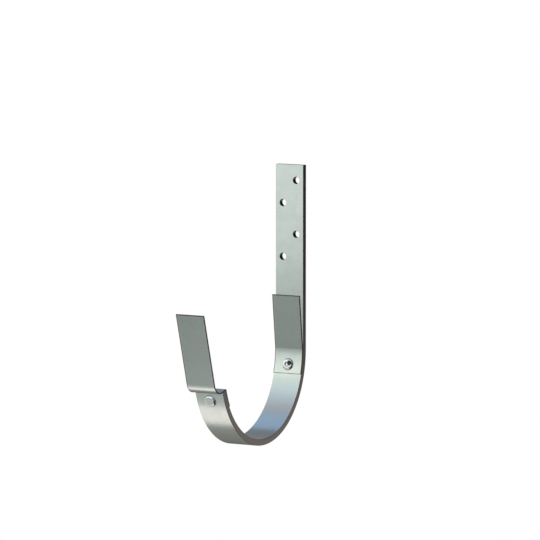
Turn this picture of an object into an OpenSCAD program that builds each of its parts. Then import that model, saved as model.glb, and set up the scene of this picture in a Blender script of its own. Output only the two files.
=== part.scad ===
// Half-round gutter bracket: a flat bar bent into a J, with a sheet clip
// riveted inside the back of the hook and another riveted over its front end.
//
// Millimetres. +X is along the gutter, +Y towards the wall, +Z up.
// The origin is the middle of the four fixing holes, on the back of the leg.

/* [Bar] */
// width of the flat bar, along the gutter
bar_w = 30; // [25:1:40]
// thickness of the flat bar
bar_t = 6; // [4:0.5:8]
// radius of the long rolled edges of the bar
edge_r = 0.4; // [0.2:0.1:1.2]

/* [Hook] */
// inside radius of the half-round hook
seat_r = 77; // [60:1:100]
// straight length of the leg above the centre of the hook
leg_len = 178; // [170:1:260]
// angle below horizontal at which the front arm is cut off
arm_drop = 16.5; // [10:0.5:24]

/* [Fixing holes] */
// diameter of each fixing hole
hole_d = 7; // [4:0.5:8]
// distance of each hole column from the middle of the bar
hole_off = 7.25; // [5:0.25:9]
// distance from the top of the leg to the first hole
hole_top = 15; // [10:1:25]
// drop from the first hole to the second, and from the third to the fourth
hole_step = 22; // [16:1:26]
// drop from the second hole to the third
hole_mid = 30; // [20:1:34]

/* [Sheet clips] */
// thickness of the clip sheet
sheet_t = 1.2; // [0.8:0.1:2]
// length of the front clip held under its rivet, along the hook
front_tail = 17.5; // [15:0.5:26]
// flat of the front clip beyond the outside face of the bar
shelf = 0.7; // [0.3:0.1:6]
// inside radius of the bead seat in the front clip
bead_r = 11; // [6:0.5:14]
// straight length of the front tongue above the bead seat
front_tongue = 70.8; // [40:0.2:90]
// length of the rear clip held under its rivet, along the hook
rear_tail = 24.3; // [20:0.1:34]
// straight length of the rear tongue
rear_tongue = 52.6; // [30:0.2:60]
// lean of the rear tongue away from the leg
rear_lean = 6.6; // [3:0.1:12]
// inside radius of the fold at the foot of the rear tongue
fold_r = 2; // [1:0.5:6]

/* [Rivets] */
// diameter of the rivet shanks
shank_d = 6; // [4:0.5:7]
// diameter of the rivet heads
head_d = 11.2; // [9:0.1:13]
// height of the rivet heads above their rims
head_h = 2.2; // [1.5:0.1:3.5]
// radius of the round shoulder between a head's flat top and its side
shoulder_r = 2.1; // [0.5:0.1:3]
// height of the flattened inside end of the front rivet
tail_h = 0.8; // [0.5:0.1:1.5]

/* [Hidden] */
// gap all round a rivet shank in its holes
shank_gap = 0.05;
// depth of the rear rivet's closed end below the outside face of the bar
flush_gap = 0.1;
// least metal left beside a fixing hole
hole_edge = 1.5;
// how far a cutting shape runs past the metal it cuts
over = 1;
// length over which the front clip's fold and its tail run together
fold_lap = 0.15;

// the two clips are as wide as the bar
clip_w = bar_w;
// outside face of the bar and inside face of a clip, from the hook's centre
out_r = seat_r + bar_t;
clip_r = seat_r - sheet_t;
// fixing holes and the top of the leg, from the middle of the holes
hole_x = min(hole_off, bar_w / 2 - hole_d / 2 - hole_edge);
hole_span = 2 * hole_step + hole_mid;
leg_top = hole_span / 2 + hole_top;
// centre of the hook
hook_y = -out_r;
hook_z = leg_top - leg_len;
// angles taken up by the clip tails, and the rivets in them
front_sweep = front_tail / seat_r * 180 / PI;
rear_sweep = rear_tail / seat_r * 180 / PI;
front_rivet_a = -arm_drop - front_sweep / 2;
rear_rivet_a = 180 + rear_sweep * 0.63;
// outside of the bead seat, and the foot of the front tongue
bend_r = bead_r + sheet_t;
tongue_u = bar_t + shelf + bead_r;
// shoulder kept within the head
turn_r = min(shoulder_r, head_h - 0.1);
// height of the plain rim under a head, above the nearest metal
rim_h = 0.3;
// how far the curved face of a clip rises beside a head as wide as this
head_sag = clip_r - sqrt(clip_r * clip_r - head_d * head_d / 4);
// closed ends of the rivets: flattened at the front, countersunk at the rear
tail_d = head_d - 1.8;
sink_d = shank_d + 2.4;
sink_h = bar_t * 0.3;

$fn = 96;

// stands the plane of the hook up (drawing x to the front, y up, both from
// the hook's centre)
module hook_plane() {
    translate([0, hook_y, hook_z]) rotate([90, 0, -90]) children();
}

// moves a drawing from the cut end of the bar into the plane of the hook
// (drawing x outwards through the bar, y on past its end)
module arm_end() {
    rotate(-arm_drop) translate([seat_r, 0]) children();
}

// carries a shape standing on +Z to the angle a of the hook, facing outwards
module on_hook(a) {
    translate([0, hook_y, hook_z]) rotate([90 - a, 0, 0]) children();
}

// full round across the whole bracket, about the hook's centre
module hook_round(r) {
    translate([0, hook_y, hook_z]) rotate([0, 90, 0])
        cylinder(r = r, h = 2 * bar_w, center = true, $fn = 4 * $fn);
}

// piece of a ring between two angles
module ring_part(r_in, r_out, a0, a1) {
    difference() {
        intersection() {
            circle(r = r_out);
            polygon([[0, 0],
                     [2 * r_out * cos(a0), 2 * r_out * sin(a0)],
                     [2 * r_out * cos(a1), 2 * r_out * sin(a1)]]);
        }
        circle(r = r_in);
    }
}

// section of the flat bar: x through its thickness, y across its width
module bar_section() {
    translate([edge_r, -bar_w / 2]) square([bar_t - 2 * edge_r, bar_w]);
    translate([0, -bar_w / 2 + edge_r]) square([bar_t, bar_w - 2 * edge_r]);
    for (x = [edge_r, bar_t - edge_r], y = [-1, 1])
        translate([x, y * (bar_w / 2 - edge_r)]) circle(r = edge_r);
}

// hole through the leg
module fixing_hole(x, z) {
    translate([x, over, z]) rotate([90, 0, 0]) cylinder(d = hole_d, h = bar_t + 2 * over);
}

// shank of a rivet, or with a gap the hole for it
module shank(r0, r1, gap) {
    translate([0, 0, r0]) cylinder(d = shank_d + 2 * gap, h = r1 - r0);
}

// widening at the outside face of the bar, for the rear rivet's closed end
module sink(gap) {
    translate([0, 0, out_r - sink_h])
        cylinder(d1 = shank_d + 2 * gap, d2 = sink_d + 2 * gap, h = sink_h);
}

// flat-topped head with a round shoulder standing on z = 0, and a straight
// skirt below it
module pan_head(skirt) {
    rotate_extrude() {
        square([head_d / 2 - turn_r, head_h]);
        intersection() {
            translate([head_d / 2 - turn_r, head_h - turn_r]) circle(r = turn_r);
            square([head_d / 2, head_h]);
        }
        translate([0, -skirt]) square([head_d / 2, skirt + head_h - turn_r]);
    }
}

module bar() {
    color([0.66, 0.69, 0.68])
    difference() {
        union() {
            translate([0, -bar_t, hook_z])
                linear_extrude(height = leg_len) rotate(90) bar_section();
            hook_plane() rotate(180)
                rotate_extrude(angle = 180 - arm_drop)
                    translate([seat_r, 0]) bar_section();
        }
        fixing_hole(hole_x, leg_top - hole_top);
        fixing_hole(-hole_x, leg_top - hole_top - hole_step);
        fixing_hole(hole_x, leg_top - hole_top - hole_step - hole_mid);
        fixing_hole(-hole_x, leg_top - hole_top - hole_span);
        on_hook(front_rivet_a) shank(seat_r - over, out_r + over, shank_gap);
        on_hook(rear_rivet_a) shank(seat_r - over, out_r + over, shank_gap);
        on_hook(rear_rivet_a) sink(shank_gap);
    }
}

module front_clip() {
    color([0.58, 0.61, 0.60])
    difference() {
        hook_plane() linear_extrude(height = clip_w, center = true) {
            // tail inside the hook
            ring_part(clip_r, seat_r, -arm_drop - front_sweep, -arm_drop);
            arm_end() {
                // tight fold over the inside corner of the bar
                intersection() {
                    circle(r = sheet_t);
                    translate([-sheet_t, -fold_lap]) square([sheet_t, sheet_t + fold_lap]);
                }
                // flat on the cut end of the bar
                square([bar_t + shelf, sheet_t]);
                // quarter-round bead seat
                translate([bar_t + shelf, bend_r]) difference() {
                    intersection() {
                        circle(r = bend_r);
                        translate([0, -bend_r]) square(bend_r);
                    }
                    circle(r = bead_r);
                }
                // tongue, square to the cut end
                translate([tongue_u, bend_r]) square([sheet_t, front_tongue]);
            }
        }
        on_hook(front_rivet_a) shank(clip_r - over, seat_r + over, shank_gap);
    }
}

module rear_clip() {
    color([0.58, 0.61, 0.60])
    difference() {
        hook_plane() linear_extrude(height = clip_w, center = true) {
            // tail inside the hook
            ring_part(clip_r, seat_r, 180, 180 + rear_sweep);
            // fold and tongue, leaning away from the leg
            translate([fold_r - clip_r, 0]) {
                ring_part(fold_r, fold_r + sheet_t, 180 - rear_lean, 180);
                rotate(180 - rear_lean) translate([fold_r, -rear_tongue])
                    square([sheet_t, rear_tongue]);
            }
        }
        on_hook(rear_rivet_a) shank(clip_r - over, seat_r + over, shank_gap);
    }
}

module front_rivet() {
    color([0.74, 0.76, 0.77])
    union() {
        // head drawn down on the outside face of the bar
        difference() {
            on_hook(front_rivet_a) translate([0, 0, out_r + rim_h]) pan_head(rim_h + over);
            hook_round(out_r);
        }
        on_hook(front_rivet_a) shank(clip_r - tail_h, out_r + head_h / 2, 0);
        // flattened end drawn down on the inside face of the clip
        intersection() {
            on_hook(front_rivet_a) translate([0, 0, clip_r - head_sag - tail_h])
                cylinder(d = tail_d, h = tail_h + head_sag + over);
            hook_round(clip_r);
        }
    }
}

module rear_rivet() {
    color([0.74, 0.76, 0.77])
    union() {
        // head drawn down on the inside face of the clip
        intersection() {
            on_hook(rear_rivet_a) translate([0, 0, clip_r - head_sag - rim_h])
                rotate([180, 0, 0]) pan_head(head_sag + rim_h + over);
            hook_round(clip_r);
        }
        // shank and closed end, kept just inside the outside face of the bar
        intersection() {
            union() {
                on_hook(rear_rivet_a) shank(clip_r - head_h / 2, out_r, 0);
                on_hook(rear_rivet_a) sink(0);
            }
            hook_round(out_r - flush_gap);
        }
    }
}

bar();
front_clip();
rear_clip();
front_rivet();
rear_rivet();
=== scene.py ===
"""Half-round gutter bracket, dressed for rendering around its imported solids.

Builds the flat bar, its two sheet clips and their rivets as smooth meshes in
galvanised finishes, with a plain stage, soft light and a camera.
"""

import math

import bmesh
import bpy
from bpy.props import FloatProperty, FloatVectorProperty, IntProperty, PointerProperty
from mathutils import Matrix, Vector


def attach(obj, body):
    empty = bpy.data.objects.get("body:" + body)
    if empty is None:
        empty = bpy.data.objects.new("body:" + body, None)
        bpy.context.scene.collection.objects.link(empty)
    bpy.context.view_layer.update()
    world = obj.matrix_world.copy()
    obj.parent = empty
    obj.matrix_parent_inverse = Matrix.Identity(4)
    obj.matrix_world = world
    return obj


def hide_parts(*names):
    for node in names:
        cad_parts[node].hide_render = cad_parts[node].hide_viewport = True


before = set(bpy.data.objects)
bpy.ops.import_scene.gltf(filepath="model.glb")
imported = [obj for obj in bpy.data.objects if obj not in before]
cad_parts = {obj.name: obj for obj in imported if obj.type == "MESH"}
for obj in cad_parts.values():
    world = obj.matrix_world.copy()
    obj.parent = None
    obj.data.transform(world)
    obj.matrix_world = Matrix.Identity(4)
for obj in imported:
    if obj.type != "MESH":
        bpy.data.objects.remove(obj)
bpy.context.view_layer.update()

bl_info = {
    "name": "Gutter bracket",
    "version": (1, 0, 0),
    "blender": (4, 5, 0),
    "location": "3D View > Sidebar > Gutter bracket",
    "description": "Builds a riveted half-round gutter bracket with its stage",
    "category": "Object",
}

BODY = "root"
MM = 0.001
X_AXIS = Vector((1, 0, 0))
QUARTER = math.pi / 2

# where the rear rivet stands along its clip's tail, from the leg
REAR_RIVET_SHARE = 0.63
# gap all round a rivet's shank in its holes
SHANK_GAP = 0.05 * MM
# the rear rivet's countersink: its depth in bar thicknesses, and how much
# wider than the shank's hole it gets
SINK_SHARE = 0.3
SINK_SPREAD = 1.2 * MM
# the closed end in it: how much wider than the shank it gets, and how far it
# stays below the face of the bar
SINK_FILL = 1.1 * MM
SINK_SHY = 0.15 * MM
# the front rivet's flattened end: how far its side stays inside the head's,
# and how far its chamfer goes in and on
TAIL_INSET = 0.9 * MM
TAIL_CHAMFER = (0.5 * MM, 0.3 * MM)
# width of the rivets' softened edges
RIVET_EDGE = 0.12 * MM

# how far a drill runs past the metal, and how far it starts before a clip
DRILL_PAST = 1 * MM
DRILL_LEAD = 3 * MM
DRILL_STEPS = 48
# corners closer than this are merged
FINE_MERGE = 1e-7
RIVET_MERGE = 1e-6
CLIP_MERGE = 1e-5
# corners this near a face, or this near a hole's rim, lie on it
ON_FACE = 1e-6
ON_RIM = 2e-5
# faces that meet at more than these angles get a crease, or a softened edge
CREASE = math.radians(35)
SOFTEN = math.radians(50)

# width of the painted contact shade round a rivet, on the bar and on a clip,
# and the share of it that is fully dark
BAR_SHADE_RING = 0.55 * MM
CLIP_SHADE_RING = 0.45 * MM
RING_FULL = 0.3
# radius over which the painted shadow in the rear rivet's hollow is fully dark, as a share of its
# width
SHADOW_FULL = 0.3
# metal beside and above the holes in which no hole's wall can lie
BORE_MARGIN = 0.5 * MM
# depth of the finest grain
GRAIN_DEPTH = 0.03 * MM


# ---------------------------------------------------------------- sizes


def length(name, description, millimetres):
    """Size property given in millimetres and kept in metres."""
    return FloatProperty(
        name=name,
        description=description,
        default=millimetres * MM,
        min=0.0,
        precision=5,
        subtype="DISTANCE",
        unit="LENGTH",
    )


def angle(name, description, degrees):
    """Angle property given in degrees and kept in radians."""
    return FloatProperty(
        name=name,
        description=description,
        default=math.radians(degrees),
        subtype="ANGLE",
        unit="ROTATION",
    )


def colour(name, description, rgb):
    """Opaque colour property."""
    return FloatVectorProperty(
        name=name,
        description=description,
        default=(*rgb, 1.0),
        size=4,
        min=0.0,
        max=1.0,
        subtype="COLOR",
    )


def share(name, description, value, high=1.0):
    """Plain number from nought to high."""
    return FloatProperty(
        name=name, description=description, default=value, min=0.0, max=high
    )


class BracketSizes(bpy.types.PropertyGroup):
    """Sizes of the bar, the clips and the rivets."""

    bar_width: length("Bar width", "Width of the flat bar, along the gutter", 30)
    bar_thick: length("Bar thickness", "Thickness of the flat bar", 6)
    edge_radius: length("Edge radius", "Radius of the bar's long rolled edges", 0.4)
    seat_radius: length("Hook radius", "Inside radius of the half-round hook", 77)
    leg_length: length("Leg length", "Straight leg above the hook's centre", 178)
    arm_drop: angle("Arm drop", "How far below level the front arm is cut off", 16.5)

    hole_diameter: length("Hole diameter", "Diameter of each fixing hole", 7)
    hole_offset: length("Hole offset", "From the bar's middle to each column of holes", 7.25)
    hole_top: length("Top hole", "From the top of the leg to the first hole", 15)
    hole_step: length("Hole step", "Drop within each pair of holes", 22)
    hole_mid: length("Middle step", "Drop between the two pairs of holes", 30)
    hole_chamfer: length("Hole edge", "Softened edge of each fixing hole", 0.25)

    sheet_thick: length("Sheet thickness", "Thickness of the clip sheet", 1.2)
    sheet_edge: length("Sheet edge", "Softened edge of the clip sheet", 0.08)
    front_tail: length("Front tail", "Front clip held inside the arm", 17.5)
    shelf: length("Shelf", "Flat of the front clip beyond the bar", 0.7)
    bead_radius: length("Bead seat", "Inside radius of the bead seat", 11)
    front_tongue: length("Front tongue", "Straight tongue above the bead seat", 70.8)
    rear_tail: length("Rear tail", "Rear clip held inside the hook", 24.3)
    rear_tongue: length("Rear tongue", "Straight tongue of the rear clip", 52.6)
    rear_lean: angle("Rear lean", "Lean of the rear tongue away from the leg", 6.6)
    fold_radius: length("Fold radius", "Inside radius at the rear tongue's foot", 2)

    shank_diameter: length("Shank diameter", "Diameter of the rivet shanks", 6)
    head_diameter: length("Head diameter", "Diameter of the rivet heads", 11.2)
    head_height: length("Head height", "Height of a head above its rim", 2.2)
    head_shoulder: length("Head shoulder", "Round shoulder of a head", 2.1)
    rim_height: length("Rim height", "Plain rim under a head", 0.3)
    tail_height: length("Tail height", "Flattened inside end of the front rivet", 0.8)
    hollow_diameter: length("Hollow diameter", "Width of the hollow in the rear rivet", 5.2)
    hollow_depth: length("Hollow depth", "Depth of the hollow in the rear rivet", 1.4)

    curve_steps: IntProperty(
        name="Curve steps",
        description="Segments along the hook",
        default=144,
        min=24,
        max=360,
    )


class BracketFinish(bpy.types.PropertyGroup):
    """Colours and surface of the galvanised steel, with the painted shade on the bar's edges,
    holes and rivet rings, the clips' rims and the rear rivet's hollow.
    """

    bar_light: colour("Bar zinc, light", "Brighter patches of the bar", (0.622, 0.704, 0.658))
    bar_dark: colour("Bar zinc, dark", "Duller patches of the bar", (0.586, 0.665, 0.621))
    clip_light: colour("Clip zinc, light", "Brighter patches of the clips", (0.620, 0.695, 0.652))
    clip_dark: colour("Clip zinc, dark", "Duller patches of the clips", (0.588, 0.662, 0.620))
    rivet_light: colour("Rivet zinc, light", "Brighter patches of the rivets", (0.78, 0.81, 0.80))
    rivet_dark: colour("Rivet zinc, dark", "Duller patches of the rivets", (0.70, 0.735, 0.725))
    # a slightly paler copy of the rivet zinc, for the rear rivet
    pale_rivet_light: colour("Paler zinc, light", "Brighter patches, rear rivet", (0.80, 0.83, 0.82))
    pale_rivet_dark: colour("Paler zinc, dark", "Duller patches, rear rivet", (0.72, 0.755, 0.745))
    # painted shade: the bar's sides, which look along the gutter, are darker in their colour
    painted_edge_shade: colour("Rolled edge", "Tone of the bar's rolled edges", (0.415, 0.372, 0.350))
    # painted shade: near-black walls of the holes, and the ring round the front rivet's head
    hole_and_ring_shade: colour("Hole wall", "Tone of the walls of the holes", (0.100, 0.092, 0.088))
    # partly darker sheared steel, partly a painted shade line along the clips' edges; also the
    # painted contact shade round the rivets on the clips
    rim_steel_and_shade: colour("Sheared rim", "Darkening along the clips' sheared rims", (0.120, 0.105, 0.100))
    rim_width: length("Rim width", "Width of the dark margin along a sheared rim", 1.15)
    # painted shadow in the upper part of the rear rivet's hollow
    painted_shadow_tone: colour("Shadowing", "Dark stain on the rear rivet's head", (0.020, 0.017, 0.016))
    shadow_width: length("Stain width", "Width of the stain", 6.2)
    shadow_across: length("Stain offset", "From the rivet to the stain, along the gutter", 2.2)
    shadow_rise: length("Stain rise", "From the rivet up to the stain", 1.1)
    bar_rough: share("Bar roughness", "Roughness of the bar", 0.24)
    clip_rough: share("Clip roughness", "Roughness of the clips", 0.24)
    rivet_rough: share("Rivet roughness", "Roughness of the rivets", 0.12)
    spangle: share("Spangle", "Strength of the zinc's crystal pattern", 0.45)
    spangle_size: length("Spangle size", "Width of a zinc crystal", 7)
    grain: share("Grain", "Strength of the fine surface grain", 0.2)


class BracketStage(bpy.types.PropertyGroup):
    """Camera, lamp and floor."""

    view_azimuth: angle("View azimuth", "Camera's turn from straight in front", 28.95)
    view_elevation: angle("View elevation", "Camera's height as an angle", 6.28)
    view_distance: length("View distance", "From the aim point to the camera", 4598)
    focal: FloatProperty(
        name="Focal length",
        description="Focal length of the camera in millimetres",
        default=318.0,
    )
    floor_drop: length("Floor drop", "Height of the floor below the origin", 750)
    floor_tone: colour("Floor", "Colour of the floor", (0.9, 0.9, 0.9))
    key_power: share("Key lamp", "Power of the soft key lamp, in watts", 6.0, 100.0)


# ---------------------------------------------------------------- places


class Places:
    """Points, directions and radii worked out from the sizes."""

    def __init__(self, s):
        self.leg_top = (2 * s.hole_step + s.hole_mid) / 2 + s.hole_top
        self.out_r = s.seat_radius + s.bar_thick
        self.clip_r = s.seat_radius - s.sheet_thick
        self.centre = Vector((0, -self.out_r, self.leg_top - s.leg_length))
        self.front_sweep = s.front_tail / s.seat_radius
        self.rear_sweep = s.rear_tail / s.seat_radius
        self.front_rivet = -s.arm_drop - self.front_sweep / 2
        self.rear_rivet = math.pi + self.rear_sweep * REAR_RIVET_SHARE
        self.shank_hole = s.shank_diameter / 2 + SHANK_GAP
        self.sink = s.bar_thick * SINK_SHARE
        # along the cut end of the arm, outwards and onwards
        self.out = self.ray(-s.arm_drop)
        self.on = self.ray(QUARTER - s.arm_drop)
        self.corner = self.centre + self.out * s.seat_radius
        # centre of the fold at the rear tongue's foot
        self.fold = self.centre + self.ray(math.pi) * (self.clip_r - s.fold_radius)

    @staticmethod
    def ray(turn):
        """Direction in the plane of the hook, from the front upwards."""
        return Vector((0, -math.cos(turn), math.sin(turn)))

    def carry(self, turn, up=0.0):
        """Matrix that turns +Z to that angle of the hook, about its centre,
        and moves a shape up along it."""
        onto_ray = Matrix.Rotation(QUARTER - turn, 4, "X")
        return Matrix.Translation(self.centre) @ onto_ray @ Matrix.Translation((0, 0, up))


# ---------------------------------------------------------------- meshes


def placed(name, bm):
    """Turns a bmesh into an object of the scene."""
    mesh = bpy.data.meshes.new(name)
    bm.to_mesh(mesh)
    bm.free()
    made = bpy.data.objects.new(name, mesh)
    bpy.context.scene.collection.objects.link(made)
    return made


def evaluated(piece):
    """New mesh with an object's modifiers applied."""
    graph = bpy.context.evaluated_depsgraph_get()
    return bpy.data.meshes.new_from_object(piece.evaluated_get(graph), depsgraph=graph)


def finished(name, bm, material, node, bevel=0.0):
    """Turns a bmesh into a smooth piece that stands for a CAD node."""
    bmesh.ops.recalc_face_normals(bm, faces=bm.faces)
    piece = placed(name, bm)
    piece.data.shade_smooth()
    piece.data.set_sharp_from_angle(angle=CREASE)
    if bevel:
        soften = piece.modifiers.new("soft edges", "BEVEL")
        soften.width = bevel
        soften.segments = 2
        soften.limit_method = "ANGLE"
        soften.angle_limit = SOFTEN
        soften.use_clamp_overlap = False
    even = piece.modifiers.new("even shading", "WEIGHTED_NORMAL")
    even.keep_sharp = True
    even.weight = 100
    piece.data.materials.append(material)
    # the metal does not mirror itself
    piece.visible_glossy = False
    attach(piece, BODY)
    mesh = evaluated(piece)
    piece.modifiers.clear()
    rough = piece.data
    piece.data = mesh
    mesh.name = piece.name
    bpy.data.meshes.remove(rough)
    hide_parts(node)


def drilled(bm, drills, merge):
    """Cuts round holes in a closed bmesh, then merges corners closer than
    merge. Each drill is a place, the radii of its cone at the low and the
    high end, and the heights of those ends on the place's +Z."""
    bmesh.ops.recalc_face_normals(bm, faces=bm.faces)
    blank = placed("blank", bm)
    tools = []
    for place, r_low, r_high, low, high in drills:
        cone = bmesh.new()
        bmesh.ops.create_cone(
            cone,
            cap_ends=True,
            segments=DRILL_STEPS,
            radius1=r_low,
            radius2=r_high,
            depth=high - low,
            matrix=place @ Matrix.Translation((0, 0, (low + high) / 2)),
        )
        tool = placed("drill", cone)
        tools.append(tool)
        cut = blank.modifiers.new("drill", "BOOLEAN")
        cut.operation = "DIFFERENCE"
        cut.solver = "EXACT"
        cut.object = tool
    mesh = evaluated(blank)
    result = bmesh.new()
    result.from_mesh(mesh)
    bmesh.ops.remove_doubles(result, verts=result.verts, dist=merge)
    bpy.data.meshes.remove(mesh)
    for done in [blank, *tools]:
        data = done.data
        bpy.data.objects.remove(done)
        bpy.data.meshes.remove(data)
    return result


def of_kind(parts, kind):
    """Those parts of a bmesh that are of one kind."""
    return [part for part in parts if isinstance(part, kind)]


def run(bm, edges, step):
    """Extrudes a row of edges by one straight step."""
    grown = bmesh.ops.extrude_edge_only(bm, edges=edges)["geom"]
    bmesh.ops.translate(bm, vec=step, verts=of_kind(grown, bmesh.types.BMVert))
    return of_kind(grown, bmesh.types.BMEdge)


def turn(bm, edges, centre, by, steps):
    """Sweeps a row of edges round an axis along the gutter."""
    verts = list(dict.fromkeys(v for edge in edges for v in edge.verts))
    last = bmesh.ops.spin(
        bm,
        geom=verts + edges,
        cent=centre,
        axis=X_AXIS,
        dvec=(0, 0, 0),
        angle=by,
        steps=steps,
        use_merge=False,
        use_duplicate=False,
    )["geom_last"]
    return of_kind(last, bmesh.types.BMEdge)


def bar_blank(s, p):
    """Leg and hook swept from one rounded section, closed at both ends."""
    bm = bmesh.new()
    bmesh.ops.create_grid(bm, x_segments=1, y_segments=1, size=0.5)
    bmesh.ops.scale(bm, vec=(s.bar_width, s.bar_thick, 1), verts=bm.verts)
    bmesh.ops.bevel(
        bm,
        geom=bm.verts[:],
        offset=s.edge_radius,
        segments=4,
        profile=0.5,
        affect="VERTICES",
        material=-1,
    )
    bmesh.ops.translate(bm, vec=(0, -s.bar_thick / 2, p.leg_top), verts=bm.verts)
    bmesh.ops.delete(bm, geom=bm.faces[:], context="FACES_ONLY")
    edges = run(bm, bm.edges[:], Vector((0, 0, -s.leg_length)))
    turn(bm, edges, p.centre, -(math.pi - s.arm_drop), s.curve_steps)
    ends = [edge for edge in bm.edges if edge.is_boundary]
    bmesh.ops.holes_fill(bm, edges=ends, sides=0)
    return bm


def chamfer_holes(bm, s, holes):
    """Softens the front and back rims of the fixing holes."""

    def on_face(corners):
        level = abs(corners[0].y - corners[1].y) < ON_FACE
        return level and min(abs(corners[0].y), abs(corners[0].y + s.bar_thick)) < ON_FACE

    def on_rim(corner, x, z):
        return abs(math.hypot(corner.x - x, corner.z - z) - s.hole_diameter / 2) < ON_RIM

    rims = []
    for edge in bm.edges:
        corners = [v.co for v in edge.verts]
        if on_face(corners) and any(all(on_rim(c, *hole) for c in corners) for hole in holes):
            rims.append(edge)
    bmesh.ops.bevel(
        bm,
        geom=rims,
        offset=s.hole_chamfer,
        segments=2,
        profile=0.5,
        affect="EDGES",
        material=-1,
    )


def sheet(bm, thick, centre):
    """Gives a swept strip its thickness, on the side towards the bar."""
    bmesh.ops.remove_doubles(bm, verts=bm.verts, dist=FINE_MERGE)
    bmesh.ops.recalc_face_normals(bm, faces=bm.faces)
    bm.faces.ensure_lookup_table()
    tail = bm.faces[0]
    away = Vector((0, centre.y, centre.z)) - tail.calc_center_median()
    if tail.normal.dot(away) < 0:
        bmesh.ops.reverse_faces(bm, faces=bm.faces)
    bmesh.ops.solidify(bm, geom=bm.faces[:], thickness=thick)


def strip_start(bm, width, place):
    """One edge across the clip at a point in the plane of the hook."""
    left = bm.verts.new((-width / 2, place.y, place.z))
    right = bm.verts.new((width / 2, place.y, place.z))
    return [bm.edges.new((left, right))]


def front_strip(s, p):
    """Outer side of the front clip, from its tail to the tip of its tongue."""
    bm = bmesh.new()
    start = p.centre + p.ray(-s.arm_drop - p.front_sweep) * p.clip_r
    shelf = p.out * (s.bar_thick + s.shelf)
    seat = p.corner + shelf + p.on * (s.sheet_thick + s.bead_radius)
    edges = strip_start(bm, s.bar_width, start)
    edges = turn(bm, edges, p.centre, -p.front_sweep, steps=24)
    edges = turn(bm, edges, p.corner, QUARTER, steps=8)
    edges = run(bm, edges, shelf)
    edges = turn(bm, edges, seat, -QUARTER, steps=32)
    run(bm, edges, p.on * s.front_tongue)
    return bm


def rear_strip(s, p):
    """Front side of the rear clip, from its tail to the tip of its tongue."""
    bm = bmesh.new()
    start = p.centre + p.ray(math.pi + p.rear_sweep) * p.clip_r
    edges = strip_start(bm, s.bar_width, start)
    edges = turn(bm, edges, p.centre, p.rear_sweep, steps=32)
    edges = turn(bm, edges, p.fold, s.rear_lean, steps=4)
    run(bm, edges, p.ray(QUARTER - s.rear_lean) * s.rear_tongue)
    return bm


def line_on(bm, vert, across, up=0.0):
    """Grows a profile line by one straight step."""
    new = bmesh.ops.extrude_vert_indiv(bm, verts=[vert])["verts"][0]
    bmesh.ops.translate(bm, vec=(across, 0, up), verts=[new])
    return new


def arc_on(bm, vert, centre, by, steps):
    """Grows a profile line by an arc in the plane of X and Z."""
    last = bmesh.ops.spin(
        bm,
        geom=[vert],
        cent=centre,
        axis=(0, 1, 0),
        dvec=(0, 0, 0),
        angle=by,
        steps=steps,
        use_merge=False,
        use_duplicate=False,
    )["geom_last"]
    return of_kind(last, bmesh.types.BMVert)[0]


def rivet_shape(s, p, inwards):
    """Rivet turned about +Z, on which its head points, with its seat at
    z = 0. The one whose head points inwards is the rear rivet."""
    head_r, shank_r = s.head_diameter / 2, s.shank_diameter / 2
    flat_r = head_r - s.head_shoulder
    # rise of the curved metal from a head's middle to its side
    sag = p.clip_r - math.sqrt(p.clip_r**2 - head_r**2)
    grip = s.sheet_thick + s.bar_thick
    top = s.rim_height + s.head_height + (sag if inwards else 0)
    foot = 0.0 if inwards else -sag

    bm = bmesh.new()
    if inwards:
        hollow_r, deep = s.hollow_diameter / 2, s.hollow_depth
        bowl_r = (hollow_r**2 + deep**2) / (2 * deep)
        vert = bm.verts.new((0, 0, top - deep))
        bowl = (0, 0, top - deep + bowl_r)
        vert = arc_on(bm, vert, bowl, -math.asin(hollow_r / bowl_r), steps=10)
        vert = line_on(bm, vert, flat_r - hollow_r)
    else:
        vert = line_on(bm, bm.verts.new((0, 0, top)), flat_r)
    vert = arc_on(bm, vert, (flat_r, 0, top - s.head_shoulder), QUARTER, steps=14)
    vert = line_on(bm, vert, 0, foot - vert.co.z)
    vert = line_on(bm, vert, shank_r - head_r)
    if inwards:
        vert = line_on(bm, vert, 0, p.sink - grip)
        vert = line_on(bm, vert, SINK_FILL, SINK_SHY - p.sink)
    else:
        chamfer_in, chamfer_on = TAIL_CHAMFER
        vert = line_on(bm, vert, 0, -(vert.co.z + grip))
        vert = line_on(bm, vert, head_r - TAIL_INSET - shank_r)
        vert = line_on(bm, vert, 0, -s.tail_height)
        vert = line_on(bm, vert, -chamfer_in, -chamfer_on)
    line_on(bm, vert, -vert.co.x)
    bmesh.ops.spin(
        bm,
        geom=bm.verts[:] + bm.edges[:],
        cent=(0, 0, 0),
        axis=(0, 0, 1),
        dvec=(0, 0, 0),
        angle=2 * math.pi,
        steps=64,
        use_merge=True,
        use_duplicate=False,
    )
    bmesh.ops.remove_doubles(bm, verts=bm.verts, dist=RIVET_MERGE)
    return bm


# ---------------------------------------------------------------- finishes


def feed(tree, value, place):
    """Links a socket to an input, or sets the input to a plain value."""
    if isinstance(value, bpy.types.NodeSocket):
        tree.links.new(value, place)
    else:
        place.default_value = value


def new_group(name, inputs, outputs):
    """Starts a node group. Each input and output is a name, a kind and
    perhaps a default. Returns the group with its sockets inside."""
    group = bpy.data.node_groups.new(name, "ShaderNodeTree")
    for way, sockets in (("INPUT", inputs), ("OUTPUT", outputs)):
        for label, kind, *default in sockets:
            made = group.interface.new_socket(
                name=label, in_out=way, socket_type="NodeSocket" + kind
            )
            if default:
                made.default_value = default[0]
    given = group.nodes.new("NodeGroupInput").outputs
    result = group.nodes.new("NodeGroupOutput").inputs
    return group, given, result


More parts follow.
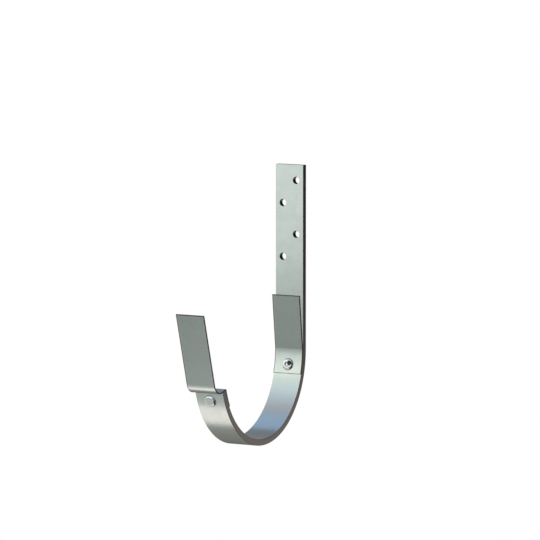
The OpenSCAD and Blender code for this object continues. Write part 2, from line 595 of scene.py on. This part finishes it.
def calc(tree, operation, *values, clamp=False):
    """Adds an arithmetic node; each value is a socket or a plain number."""
    node = tree.nodes.new("ShaderNodeMath")
    node.operation = operation
    node.use_clamp = clamp
    for value, place in zip(values, node.inputs):
        feed(tree, value, place)
    return node.outputs["Value"]


def vector_calc(tree, operation, *values, output="Vector"):
    """Adds a vector arithmetic node; each value is a socket or a vector."""
    node = tree.nodes.new("ShaderNodeVectorMath")
    node.operation = operation
    for value, place in zip(values, node.inputs):
        feed(tree, value, place)
    return node.outputs[output]


def ramp(tree, value, low, high, to=(0.0, 1.0), smooth=True):
    """Adds a run of a value from low to high over the numbers in to."""
    node = tree.nodes.new("ShaderNodeMapRange")
    node.interpolation_type = "SMOOTHSTEP" if smooth else "LINEAR"
    bounds = (value, low, high, *to)
    for bound, place in zip(bounds, ("Value", "From Min", "From Max", "To Min", "To Max")):
        feed(tree, bound, node.inputs[place])
    return node.outputs["Result"]


def mix(tree, kind, factor, first, second):
    """Adds a blend of two numbers or colours."""
    node = tree.nodes.new("ShaderNodeMix")
    node.data_type = kind
    for value, place in zip((factor, first, second), ("Factor", "A", "B")):
        feed(tree, value, node.inputs[place])
    return node.outputs["Result"]


def noise(tree, place, scale, detail=2.0, roughness=0.5):
    """Adds a noise pattern with that many features in a metre."""
    node = tree.nodes.new("ShaderNodeTexNoise")
    node.inputs["Scale"].default_value = scale
    node.inputs["Detail"].default_value = detail
    node.inputs["Roughness"].default_value = roughness
    tree.links.new(place, node.inputs["Vector"])
    return node.outputs


def parted(tree, vector):
    """Adds the X, Y and Z of a vector."""
    node = tree.nodes.new("ShaderNodeSeparateXYZ")
    tree.links.new(vector, node.inputs["Vector"])
    return node.outputs


def zinc_group():
    """Galvanised skin: crystal patches, cloudy tone and fine grain."""
    name = "zinc skin"
    if name in bpy.data.node_groups:
        return bpy.data.node_groups[name]
    group, given, result = new_group(
        name,
        [
            ("Place", "Vector"),
            ("Light", "Color", (0.7, 0.7, 0.7, 1)),
            ("Dark", "Color", (0.6, 0.6, 0.6, 1)),
            ("Crystals per Metre", "Float", 140.0),
            ("Spangle", "Float", 0.5),
            ("Roughness", "Float", 0.3),
        ],
        [("Colour", "Color"), ("Roughness", "Float"), ("Height", "Float")],
    )
    links = group.links
    place = given["Place"]
    wander, swing, grain_share = 4 * MM, 0.045, 0.35

    # crystals with wandering edges, each with tones of its own
    warp = noise(group, place, scale=90.0)["Color"]
    cells = group.nodes.new("ShaderNodeTexVoronoi")
    cells.feature = "SMOOTH_F1"
    cells.inputs["Smoothness"].default_value = 0.35
    bent = vector_calc(group, "MULTIPLY_ADD", warp, (wander, wander, wander), place)
    links.new(bent, cells.inputs["Vector"])
    links.new(given["Crystals per Metre"], cells.inputs["Scale"])
    pick = group.nodes.new("ShaderNodeSeparateColor")
    links.new(cells.outputs["Color"], pick.inputs["Color"])

    cloud = noise(group, place, scale=22.0, detail=5.0, roughness=0.55)["Fac"]
    patch = mix(group, "FLOAT", given["Spangle"], cloud, pick.outputs["Red"])
    tone = mix(group, "RGBA", patch, given["Dark"], given["Light"])
    links.new(tone, result["Colour"])

    # light patches are a little smoother than dark ones
    spread = ramp(group, patch, 0.0, 1.0, to=(swing, -swing), smooth=False)
    rough = calc(group, "ADD", given["Roughness"], spread, clamp=True)
    links.new(rough, result["Roughness"])

    grain = noise(group, place, scale=650.0, detail=3.0)["Fac"]
    swell = calc(group, "MULTIPLY_ADD", grain, grain_share, pick.outputs["Green"])
    links.new(swell, result["Height"])
    return group


def flank_group():
    """Mask of the faces that look along the gutter: the bar's rolled edges, darkened there by a
    painted shade.
    """
    name = "flank mask"
    if name in bpy.data.node_groups:
        return bpy.data.node_groups[name]
    group, given, result = new_group(name, [("Normal", "Vector")], [("Mask", "Float")])
    sideways = calc(group, "ABSOLUTE", parted(group, given["Normal"])["X"])
    group.links.new(ramp(group, sideways, low=0.15, high=0.45), result["Mask"])
    return group


def bore_group():
    """Mask of the walls of the holes through the leg, darkened there by a painted shade."""
    name = "bore mask"
    if name in bpy.data.node_groups:
        return bpy.data.node_groups[name]
    group, given, result = new_group(
        name,
        [
            ("Place", "Vector"),
            ("Normal", "Vector"),
            ("Half Width", "Float", 0.0145),
            ("Foot", "Float", 0.0),
            ("Top", "Float", 0.05),
        ],
        [("Mask", "Float")],
    )
    place = parted(group, given["Place"])
    facing = calc(group, "ABSOLUTE", parted(group, given["Normal"])["Y"])
    wall = ramp(group, facing, low=0.5, high=0.8, to=(1.0, 0.0))
    beside = calc(group, "ABSOLUTE", place["X"])
    inside = calc(group, "LESS_THAN", beside, given["Half Width"])
    above = calc(group, "GREATER_THAN", place["Z"], given["Foot"])
    below = calc(group, "LESS_THAN", place["Z"], given["Top"])
    level = calc(group, "MULTIPLY", above, below)
    within = calc(group, "MULTIPLY", level, inside)
    group.links.new(calc(group, "MULTIPLY", within, wall), result["Mask"])
    return group


def spot_group():
    """Mask of a round spot about an axis, full up to the inner radius and
    gone at the outer: the painted contact shade round a rivet's head, or the
    painted shadow in the rear rivet's hollow."""
    name = "round spot"
    if name in bpy.data.node_groups:
        return bpy.data.node_groups[name]
    group, given, result = new_group(
        name,
        [
            ("Place", "Vector"),
            ("Seat", "Vector"),
            ("Axis", "Vector", (0, 0, 1)),
            ("Inner", "Float", 0.006),
            ("Outer", "Float", 0.007),
            ("Reach", "Float", 0.01),
        ],
        [("Mask", "Float")],
    )
    apart = vector_calc(group, "SUBTRACT", given["Place"], given["Seat"])
    along = vector_calc(group, "DOT_PRODUCT", apart, given["Axis"], output="Value")
    whole = vector_calc(group, "LENGTH", apart, output="Value")
    whole_squared = calc(group, "MULTIPLY", whole, whole)
    along_squared = calc(group, "MULTIPLY", along, along)
    beside_squared = calc(group, "SUBTRACT", whole_squared, along_squared)
    beside = calc(group, "SQRT", calc(group, "MAXIMUM", beside_squared, 0.0))
    fade = ramp(group, beside, given["Inner"], given["Outer"], to=(1.0, 0.0))
    near = calc(group, "LESS_THAN", calc(group, "ABSOLUTE", along), given["Reach"])
    group.links.new(calc(group, "MULTIPLY", fade, near), result["Mask"])
    return group


def rim_group():
    """Mask of the margin along a clip's sheared sides, the tip of its tongue
    and the end of its tail: partly darker sheared steel, partly a painted
    shade line along the edges."""
    name = "rim mask"
    if name in bpy.data.node_groups:
        return bpy.data.node_groups[name]
    group, given, result = new_group(
        name,
        [
            ("Place", "Vector"),
            ("Tip", "Vector"),
            ("Tongue", "Vector", (0, 0, 1)),
            ("End", "Vector"),
            ("Tail", "Vector", (0, 0, 1)),
            ("Half Width", "Float", 0.015),
            ("Margin", "Float", 0.001),
        ],
        [("Mask", "Float")],
    )
    place = given["Place"]
    # the margin wavers, is full over its outer part, and is narrower at the tail
    waver_depth, full_share, tail_pace = 0.4 * MM, 0.46, 1.8
    across = calc(group, "ABSOLUTE", parted(group, place)["X"])
    near = calc(group, "SUBTRACT", given["Half Width"], across)
    for point, way, pace in (("Tip", "Tongue", 1.0), ("End", "Tail", tail_pace)):
        apart = vector_calc(group, "SUBTRACT", place, given[point])
        along = vector_calc(group, "DOT_PRODUCT", apart, given[way], output="Value")
        near = calc(group, "MINIMUM", near, calc(group, "MULTIPLY", along, -pace))
    waver = noise(group, place, scale=400.0)["Fac"]
    near = calc(group, "ADD", near, calc(group, "MULTIPLY", waver, waver_depth))
    full = calc(group, "MULTIPLY", given["Margin"], full_share)
    fade = ramp(group, near, full, given["Margin"], to=(1.0, 0.0))
    group.links.new(fade, result["Mask"])
    return group


def zinc(name, light, dark, rough, finish):
    """Galvanised metal built on the shared skin."""
    material = bpy.data.materials.new(name)
    material.use_nodes = True
    nodes, links = material.node_tree.nodes, material.node_tree.links
    shader = nodes["Principled BSDF"]
    shader.inputs["Metallic"].default_value = 1.0
    coords = nodes.new("ShaderNodeTexCoord")
    skin = nodes.new("ShaderNodeGroup")
    skin.node_tree = zinc_group()
    skin.inputs["Light"].default_value = light
    skin.inputs["Dark"].default_value = dark
    skin.inputs["Crystals per Metre"].default_value = 1.0 / finish.spangle_size
    skin.inputs["Spangle"].default_value = finish.spangle
    skin.inputs["Roughness"].default_value = rough
    links.new(coords.outputs["Object"], skin.inputs["Place"])
    bump = nodes.new("ShaderNodeBump")
    bump.inputs["Strength"].default_value = finish.grain
    bump.inputs["Distance"].default_value = GRAIN_DEPTH
    links.new(skin.outputs["Height"], bump.inputs["Height"])
    links.new(bump.outputs["Normal"], shader.inputs["Normal"])
    links.new(skin.outputs["Roughness"], shader.inputs["Roughness"])
    links.new(skin.outputs["Colour"], shader.inputs["Base Color"])
    return material


def masked(material, group, tone, values):
    """Lays a tone over a material's colour where a mask group says."""
    tree = material.node_tree
    coords = tree.nodes.new("ShaderNodeTexCoord")
    mask = tree.nodes.new("ShaderNodeGroup")
    mask.node_tree = group
    for name, value in values.items():
        mask.inputs[name].default_value = value
    for name, coordinate in (("Place", "Object"), ("Normal", "Normal")):
        if name in mask.inputs:
            tree.links.new(coords.outputs[coordinate], mask.inputs[name])
    base = tree.nodes["Principled BSDF"].inputs["Base Color"]
    clean = base.links[0].from_socket
    tree.links.new(mix(tree, "RGBA", mask.outputs["Mask"], clean, tone), base)


def ringed(material, s, p, at, radius, tone, spread):
    """Painted contact shade: a dark ring where the rivet at that angle sits down on that radius.
    """
    axis = p.ray(at)
    ring = {
        "Seat": p.centre + axis * radius,
        "Axis": axis,
        "Inner": s.head_diameter / 2 + spread * RING_FULL,
        "Outer": s.head_diameter / 2 + spread,
    }
    masked(material, spot_group(), tone, ring)


# ---------------------------------------------------------------- operators


def settings(context):
    """The sizes, the places worked out from them, and the finish."""
    s = context.scene.bracket_sizes
    return s, Places(s), context.scene.bracket_finish


class BRACKET_OT_bar(bpy.types.Operator):
    """Flat bar bent into a leg, a half-round hook and a short front arm"""

    bl_idname = "bracket.bar"
    bl_label = "Bar"

    def execute(self, context):
        s, p, f = settings(context)
        x, z = s.hole_offset, p.leg_top - s.hole_top
        holes = [
            (x, z),
            (-x, z - s.hole_step),
            (x, z - s.hole_step - s.hole_mid),
            (-x, z - 2 * s.hole_step - s.hole_mid),
        ]
        hole_r, shank_r = s.hole_diameter / 2, p.shank_hole
        forwards = Matrix.Rotation(QUARTER, 4, "X")
        drills = []
        for hx, hz in holes:
            place = Matrix.Translation((hx, 0, hz)) @ forwards
            drills.append((place, hole_r, hole_r, -DRILL_PAST, s.bar_thick + DRILL_PAST))
        start, stop = s.seat_radius - DRILL_PAST, p.out_r + DRILL_PAST
        for at in (p.front_rivet, p.rear_rivet):
            drills.append((p.carry(at), shank_r, shank_r, start, stop))
        widened = shank_r + SINK_SPREAD
        drills.append((p.carry(p.rear_rivet), shank_r, widened, p.out_r - p.sink, p.out_r))
        bm = drilled(bar_blank(s, p), drills, FINE_MERGE)
        chamfer_holes(bm, s, holes)

        steel = zinc("bar zinc", f.bar_light, f.bar_dark, f.bar_rough, f)
        # painted shade on the bar's rolled edges
        masked(steel, flank_group(), f.painted_edge_shade, {})
        bore = {
            "Half Width": s.bar_width / 2 - BORE_MARGIN,
            "Foot": p.centre.z,
            "Top": p.leg_top - BORE_MARGIN,
        }
        # painted shade on the walls of the holes
        masked(steel, bore_group(), f.hole_and_ring_shade, bore)
        # painted contact shade round the front rivet's head on the bar
        ringed(steel, s, p, p.front_rivet, p.out_r, f.hole_and_ring_shade, BAR_SHADE_RING)
        finished("bar_steel", bm, steel, "bar")
        return {"FINISHED"}


def clip_piece(context, name, node, bm, rivet_at, tongue, tip, tail, end):
    """Thickens, drills and finishes one clip. Its tongue and tail point along
    tongue and tail, and stop at the points tip and end."""
    s, p, f = settings(context)
    sheet(bm, s.sheet_thick, p.centre)
    start, stop = p.clip_r - DRILL_LEAD, s.seat_radius + DRILL_PAST
    hole = (p.carry(rivet_at), p.shank_hole, p.shank_hole, start, stop)
    bm = drilled(bm, [hole], CLIP_MERGE)

    material = zinc(name + " zinc", f.clip_light, f.clip_dark, f.clip_rough, f)
    rim = {
        "Tip": tip,
        "Tongue": tongue,
        "End": end,
        "Tail": tail,
        "Half Width": s.bar_width / 2,
        "Margin": f.rim_width,
    }
    # dark margin along the sheared rims: partly darker sheared steel, partly painted shade
    masked(material, rim_group(), f.rim_steel_and_shade, rim)
    # painted contact shade where the rivet sits on the clip
    ringed(material, s, p, rivet_at, p.clip_r, f.rim_steel_and_shade, CLIP_SHADE_RING)
    finished(name, bm, material, node, bevel=s.sheet_edge)


class BRACKET_OT_front_clip(bpy.types.Operator):
    """Sheet clip over the end of the front arm, with its bead seat and tongue"""

    bl_idname = "bracket.front_clip"
    bl_label = "Front clip"

    def execute(self, context):
        s, p, _ = settings(context)
        last = -s.arm_drop - p.front_sweep
        clip_piece(
            context,
            "front_spring",
            "front_clip",
            front_strip(s, p),
            p.front_rivet,
            tongue=p.on,
            tip=p.corner + p.on * (s.sheet_thick + s.bead_radius + s.front_tongue),
            tail=p.ray(last - QUARTER),
            end=p.centre + p.ray(last) * p.clip_r,
        )
        return {"FINISHED"}


class BRACKET_OT_rear_clip(bpy.types.Operator):
    """Sheet clip inside the back of the hook, with its tongue"""

    bl_idname = "bracket.rear_clip"
    bl_label = "Rear clip"

    def execute(self, context):
        s, p, _ = settings(context)
        last = math.pi + p.rear_sweep
        tongue = p.ray(QUARTER - s.rear_lean)
        clip_piece(
            context,
            "rear_spring",
            "rear_clip",
            rear_strip(s, p),
            p.rear_rivet,
            tongue=tongue,
            tip=p.fold + tongue * s.rear_tongue,
            tail=p.ray(last + QUARTER),
            end=p.centre + p.ray(last) * p.clip_r,
        )
        return {"FINISHED"}


class BRACKET_OT_rivets(bpy.types.Operator):
    """The two flat-topped rivets that hold the clips"""

    bl_idname = "bracket.rivets"
    bl_label = "Rivets"

    def execute(self, context):
        s, p, f = settings(context)
        bright = zinc("rivet zinc", f.rivet_light, f.rivet_dark, f.rivet_rough, f)
        # paler rivet zinc, with a painted shadow laid over it below
        shaded = zinc("worn rivet zinc", f.pale_rivet_light, f.pale_rivet_dark, f.rivet_rough, f)
        out, up = p.ray(p.rear_rivet), p.ray(p.rear_rivet - QUARTER)
        seat = p.centre + out * p.clip_r
        shadowing = {
            "Seat": seat + X_AXIS * f.shadow_across + up * f.shadow_rise,
            "Axis": out,
            "Inner": f.shadow_width * SHADOW_FULL,
            "Outer": f.shadow_width / 2,
            "Reach": 2 * s.head_height,
        }
        # painted shadow in the rear rivet's hollow
        masked(shaded, spot_group(), f.painted_shadow_tone, shadowing)

        front = rivet_shape(s, p, inwards=False)
        place = p.carry(p.front_rivet, up=p.out_r)
        bmesh.ops.transform(front, matrix=place, verts=front.verts)
        finished("front_pin", front, bright, "front_rivet", bevel=RIVET_EDGE)

        rear = rivet_shape(s, p, inwards=True)
        turned = Matrix.Rotation(math.pi, 4, "X")
        place = p.carry(p.rear_rivet, up=p.clip_r) @ turned
        bmesh.ops.transform(rear, matrix=place, verts=rear.verts)
        finished("rear_pin", rear, shaded, "rear_rivet", bevel=RIVET_EDGE)
        return {"FINISHED"}


# ---------------------------------------------------------------- stage

UPWARDS, DOWNWARDS = (0, 0, 1), (0, 0, -1)
LEFTWARDS, FORWARDS = (-1, 0, 0), (0, -1, 0)
# from the origin to the cards in front of the bracket
AHEAD = Vector((-0.515, -0.857, 0))
# height of the cards that lie just above the floor
CARD_LIFT = 5 * MM
FLOOR_RADIUS = 1.4
FLOOR_CENTRE = (0, -0.1)
LAMP_PLACE = Vector((0.19, -1.3, 1.35))
LAMP_AIM = Vector((0, -0.1, -0.1))
LAMP_WIDTH = 0.5
VIEW_AIM = Vector((-0.02036, -0.0078, -0.05074))


def card(name, centre, facing, width, height, stops, axis="Z"):
    """Flat card that only the metal's reflections see. Its tone runs
    through the stops, each a place along the axis and a colour."""
    bm = bmesh.new()
    bmesh.ops.create_grid(bm, x_segments=1, y_segments=1, size=0.5)
    bmesh.ops.scale(bm, vec=(width, height, 1), verts=bm.verts)
    aim = Vector(facing).to_track_quat("Z", "Y").to_matrix().to_4x4()
    bmesh.ops.transform(bm, matrix=Matrix.Translation(centre) @ aim, verts=bm.verts)
    board = placed(name, bm)
    paint = bpy.data.materials.new(name)
    paint.use_nodes = True
    tree = paint.node_tree
    nodes, links = tree.nodes, tree.links
    nodes.remove(nodes["Principled BSDF"])
    glow = nodes.new("ShaderNodeEmission")
    links.new(glow.outputs["Emission"], nodes["Material Output"].inputs["Surface"])
    (first, tone), last = stops[0], stops[-1][0]
    glow.inputs["Color"].default_value = (*tone, 1)
    if len(stops) > 1:
        coords = nodes.new("ShaderNodeTexCoord")
        place = parted(tree, coords.outputs["Object"])[axis]
        fade = nodes.new("ShaderNodeValToRGB")
        marks = fade.color_ramp.elements
        while len(marks) < len(stops):
            marks.new(0.5)
        for mark, (at, tone) in zip(marks, stops):
            mark.position = (at - first) / (last - first)
            mark.color = (*tone, 1)
        along = ramp(tree, place, first, last, smooth=False)
        links.new(along, fade.inputs["Fac"])
        links.new(fade.outputs["Color"], glow.inputs["Color"])
    board.data.materials.append(paint)
    board.visible_camera = False
    board.visible_diffuse = False
    board.visible_shadow = False
    board.visible_transmission = False


def plain(tone):
    """Stops of a card that has one tone all over."""
    return [(0, tone)]


def stage_cards(floor):
    """Cards round the bracket, the lowest just above the floor. Each is a
    name, centre, facing, width, height, stops and perhaps their axis."""
    level = floor + CARD_LIFT
    front_top = -0.183
    front = AHEAD + Vector((0, 0, (level + front_top) / 2))
    front_high = AHEAD * 2.0 + Vector((0, 0, 0.58))
    floor_front = AHEAD * 0.795 + Vector((0, 0, level))
    floor_patch = (-0.33, -0.28, level + 3 * MM)
    floor_right = (0.93, 0.0, level + 2 * MM)
    front_tones = [
        (level, (0.275, 0.29, 0.285)),
        (-0.6, (0.285, 0.30, 0.295)),
        (-0.45, (0.34, 0.348, 0.345)),
        (front_top, (0.34, 0.348, 0.345)),
    ]
    floor_rear_tones = [(0.0, (0.31, 0.29, 0.28)), (0.8, (0.18, 0.17, 0.16))]
    rear_left_tones = [
        (-0.55, (0.13, 0.125, 0.12)),
        (-0.15, (0.25, 0.24, 0.26)),
        (0.9, (0.225, 0.23, 0.26)),
    ]
    rear_right_tones = [
        (-0.36, (0.33, 0.33, 0.31)),
        (-0.24, (0.056, 0.040, 0.031)),
        (-0.1, (0.030, 0.017, 0.011)),
    ]
    over_tones = [
        (-2.1, (0.97, 1.0, 1.0)),
        (-1.19, (0.87, 0.92, 1.0)),
        (-0.97, (0.75, 0.83, 0.97)),
        (-0.55, (0.63, 0.66, 0.76)),
        (-0.30, (0.585, 0.515, 0.57)),
        (0.0, (0.45, 0.49, 0.63)),
        (0.20, (0.42, 0.53, 0.75)),
        (1.0, (0.39, 0.50, 0.75)),
    ]
    shade = plain((0.05, 0.045, 0.045))
    side = plain((0.24, 0.235, 0.23))
    back_low, back, back_high = plain((0.75,) * 3), plain((0.8,) * 3), plain((0.85,) * 3)
    return [
        ("card_front", front, -AHEAD, 2.4, front_top - level, front_tones),
        ("card_front_high", front_high, -AHEAD, 4.0, 0.62, plain((1.23, 1.21, 1.15))),
        ("card_floor_front", floor_front, UPWARDS, 2.6, 0.45, plain((0.53, 0.54, 0.53))),
        ("card_floor_patch", floor_patch, UPWARDS, 0.8, 0.32, plain((1.26, 1.11, 1.10))),
        ("card_floor_rear", (-0.25, 1.01, level), UPWARDS, 2.7, 2.2, floor_rear_tones, "Y"),
        ("card_floor_right", floor_right, UPWARDS, 1.64, 2.2, shade),
        ("card_right", (1.05, -0.3, -0.15), LEFTWARDS, 2.2, 1.2, shade),
        ("card_right_high", (1.05, -0.6, 0.85), LEFTWARDS, 1.6, 0.8, shade),
        ("card_side", (1.03, -0.15, -0.12), LEFTWARDS, 0.5, 0.7, side),
        ("card_rear_left", (-1.0, 0.95, 0.15), FORWARDS, 2.0, 1.8, rear_left_tones),
        ("card_rear_right", (0.9, 0.95, 0.15), FORWARDS, 1.8, 1.8, rear_right_tones),
        ("card_back", (0.0, 0.93, -0.25), FORWARDS, 0.42, 0.34, back_high),
        ("card_back_left", (-1.4, 0.93, -0.5), FORWARDS, 0.85, 0.5, back),
        ("card_back_right", (1.36, 0.93, -0.56), FORWARDS, 0.88, 0.38, back_low),
        ("card_back_high", (1.35, 0.93, 0.45), FORWARDS, 0.9, 0.8, back),
        ("card_over", (0, -0.3, 1.25), DOWNWARDS, 3.4, 3.8, over_tones, "Y"),
    ]


def white_world():
    """Plain white surround."""
    world = bpy.data.worlds.new("white surround")
    world.use_nodes = True
    sky = world.node_tree.nodes["Background"]
    sky.inputs["Color"].default_value = (1, 1, 1, 1)
    sky.inputs["Strength"].default_value = 1.0
    return world


def round_floor(st):
    """Round pale floor below the bracket."""
    bm = bmesh.new()
    bmesh.ops.create_circle(bm, cap_ends=True, segments=96, radius=FLOOR_RADIUS)
    bmesh.ops.translate(bm, vec=(*FLOOR_CENTRE, -st.floor_drop), verts=bm.verts)
    floor = placed("floor", bm)
    paint = bpy.data.materials.new("floor paint")
    paint.use_nodes = True
    shader = paint.node_tree.nodes["Principled BSDF"]
    shader.inputs["Base Color"].default_value = st.floor_tone
    shader.inputs["Roughness"].default_value = 0.9
    floor.data.materials.append(paint)


def soft_lamp(st):
    """Round soft lamp in front of the bracket and above it."""
    lamp = bpy.data.lights.new("key", "AREA")
    lamp.shape = "DISK"
    lamp.size = LAMP_WIDTH
    lamp.energy = st.key_power
    key = bpy.data.objects.new("key", lamp)
    key.location = LAMP_PLACE
    key.rotation_euler = (LAMP_AIM - LAMP_PLACE).to_track_quat("-Z", "Y").to_euler()
    bpy.context.scene.collection.objects.link(key)


def aimed_camera(st):
    """Camera in front of the bracket, to its right and a little above it."""
    view = bpy.data.cameras.new("camera")
    view.lens = st.focal
    view.sensor_width = 36.0
    view.clip_start = 0.1
    view.clip_end = 100.0
    camera = bpy.data.objects.new("camera", view)
    azimuth, rise = st.view_azimuth, st.view_elevation
    level = math.cos(rise)
    away = Vector((level * math.sin(azimuth), -level * math.cos(azimuth), math.sin(rise)))
    camera.location = VIEW_AIM + away * st.view_distance
    camera.rotation_euler = (-away).to_track_quat("-Z", "Y").to_euler()
    bpy.context.scene.collection.objects.link(camera)
    return camera


class BRACKET_OT_stage(bpy.types.Operator):
    """Floor, white surround, soft lamp, reflection cards and camera"""

    bl_idname = "bracket.stage"
    bl_label = "Stage"

    def execute(self, context):
        scene = context.scene
        st = scene.bracket_stage
        scene.world = white_world()
        round_floor(st)
        for row in stage_cards(-st.floor_drop):
            card(*row)
        soft_lamp(st)
        scene.camera = aimed_camera(st)
        scene.view_settings.view_transform = "Standard"
        return {"FINISHED"}


class BRACKET_PT_panel(bpy.types.Panel):
    """Lists the bracket's pieces and sizes"""

    bl_idname = "BRACKET_PT_panel"
    bl_label = "Gutter bracket"
    bl_space_type = "VIEW_3D"
    bl_region_type = "UI"
    bl_category = "Gutter bracket"

    def draw(self, context):
        layout = self.layout
        for step in STEPS:
            layout.operator(step.bl_idname)
        for group in GROUPS:
            box = layout.box()
            properties = getattr(context.scene, group)
            for name in properties.bl_rna.properties.keys():
                if name not in ("rna_type", "name"):
                    box.prop(properties, name)


STEPS = (
    BRACKET_OT_bar,
    BRACKET_OT_front_clip,
    BRACKET_OT_rear_clip,
    BRACKET_OT_rivets,
    BRACKET_OT_stage,
)
GROUPS = {
    "bracket_sizes": BracketSizes,
    "bracket_finish": BracketFinish,
    "bracket_stage": BracketStage,
}


def register():
    for group in (*GROUPS.values(), *STEPS, BRACKET_PT_panel):
        bpy.utils.register_class(group)
    for name, group in GROUPS.items():
        setattr(bpy.types.Scene, name, PointerProperty(type=group))


def unregister():
    for name in GROUPS:
        delattr(bpy.types.Scene, name)
    for group in reversed((*GROUPS.values(), *STEPS, BRACKET_PT_panel)):
        bpy.utils.unregister_class(group)


def main():
    """Builds every piece and the stage."""
    register()
    for step in STEPS:
        space, call = step.bl_idname.split(".")
        getattr(getattr(bpy.ops, space), call)()


if __name__ == "__main__":
    main()
